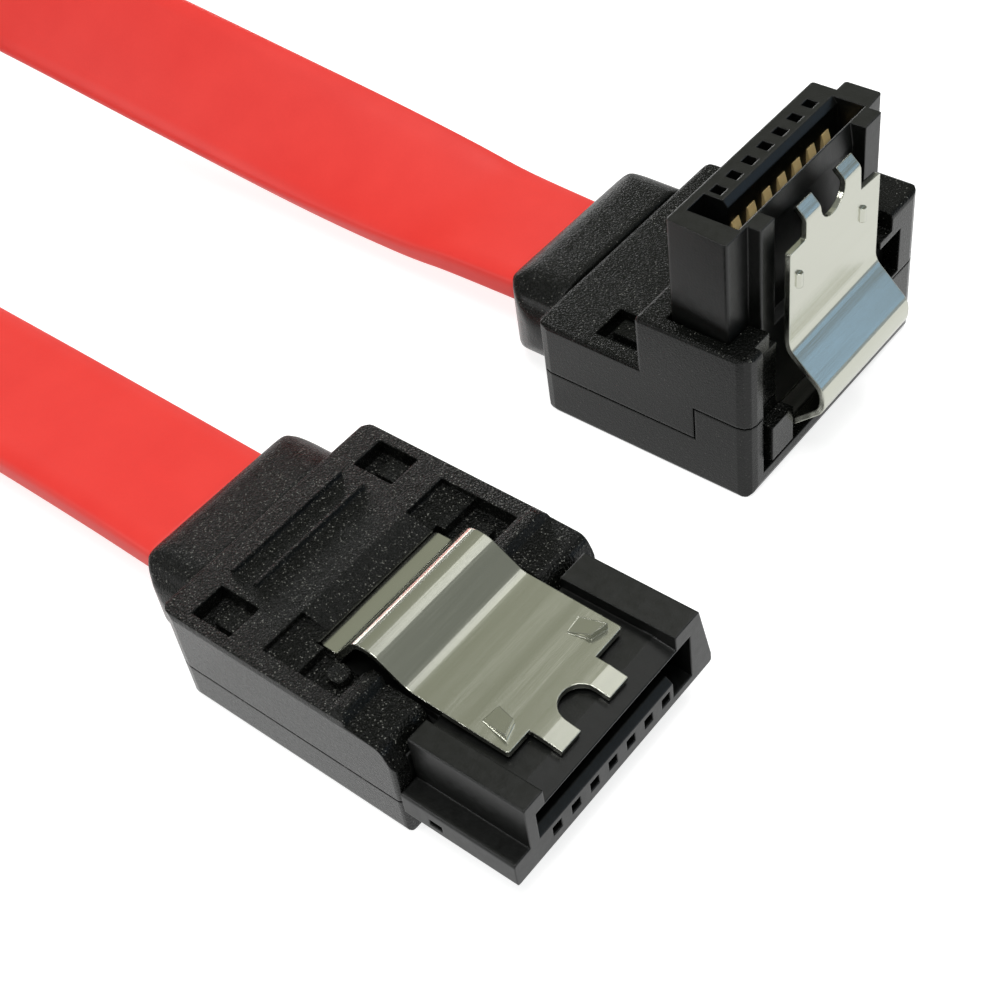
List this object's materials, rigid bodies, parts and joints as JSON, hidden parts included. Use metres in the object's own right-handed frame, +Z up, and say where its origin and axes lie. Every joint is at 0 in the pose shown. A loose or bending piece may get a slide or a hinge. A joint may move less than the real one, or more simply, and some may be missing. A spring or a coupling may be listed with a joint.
{
  "type": "serial data cable",
  "caption": "Flat ribbon data cable with a straight latching plug on one end and a right-angle latching plug on the other.",
  "frame": {"origin": "middle of the two plugs' box, on the plane that they lie on", "axes": "+X the way the straight plug mates, +Y from the straight plug to the right-angle one, +Z up, which is also the way the right-angle plug mates"},
  "size_m": [0.2334, 0.0518, 0.0147],
  "materials": {
    "gold": "gold-plated, bright",
    "tinned_copper": "tinned",
    "core_insulation": "smooth",
    "inner_plastic": "satin",
    "black_plastic": "fine spark-eroded grain",
    "latch_steel": "bright rolled",
    "red_jacket": "matte soft plastic"
  },
  "bodies": {
    "cable": {"straight_contact_1": "gold", "straight_contact_2": "gold", "straight_contact_3": "gold", "straight_contact_4": "gold", "straight_contact_5": "gold", "straight_contact_6": "gold", "straight_contact_7": "gold", "straight_drain_wire_1": "tinned_copper", "straight_drain_wire_2": "tinned_copper", "straight_drain_wire_3": "tinned_copper", "straight_core_1": "core_insulation", "straight_core_2": "core_insulation", "straight_core_3": "core_insulation", "straight_core_4": "core_insulation", "straight_housing": "inner_plastic", "straight_top_cover": "black_plastic", "straight_bottom_cover": "black_plastic", "straight_strain_relief": "black_plastic", "angle_contact_1": "gold", "angle_contact_2": "gold", "angle_contact_3": "gold", "angle_contact_4": "gold", "angle_contact_5": "gold", "angle_contact_6": "gold", "angle_contact_7": "gold", "angle_drain_wire_1": "tinned_copper", "angle_drain_wire_2": "tinned_copper", "angle_drain_wire_3": "tinned_copper", "angle_core_1": "core_insulation", "angle_core_2": "core_insulation", "angle_core_3": "core_insulation", "angle_core_4": "core_insulation", "angle_housing": "inner_plastic", "angle_top_cover": "black_plastic", "angle_bottom_cover": "black_plastic", "angle_strain_relief": "black_plastic", "cable_jacket": "red_jacket"},
    "straight_latch": {"straight_latch": "latch_steel"},
    "angle_latch": {"angle_latch": "latch_steel"}
  },
  "joints": [
    {"name": "straight_latch_press", "type": "hinge", "parent": "cable", "child": "straight_latch", "pos_m": [-0.0022, -0.01286, 0.0052], "axis": [0, 1, 0], "range_deg": [0, 0.5], "stiffness_Nm_per_rad": 0.3},
    {"name": "angle_latch_press", "type": "hinge", "parent": "cable", "child": "angle_latch", "pos_m": [0.0058, 0.01153, 0.00275], "axis": [0, -1, 0], "range_deg": [0, 3], "stiffness_Nm_per_rad": 0.2}
  ]
}
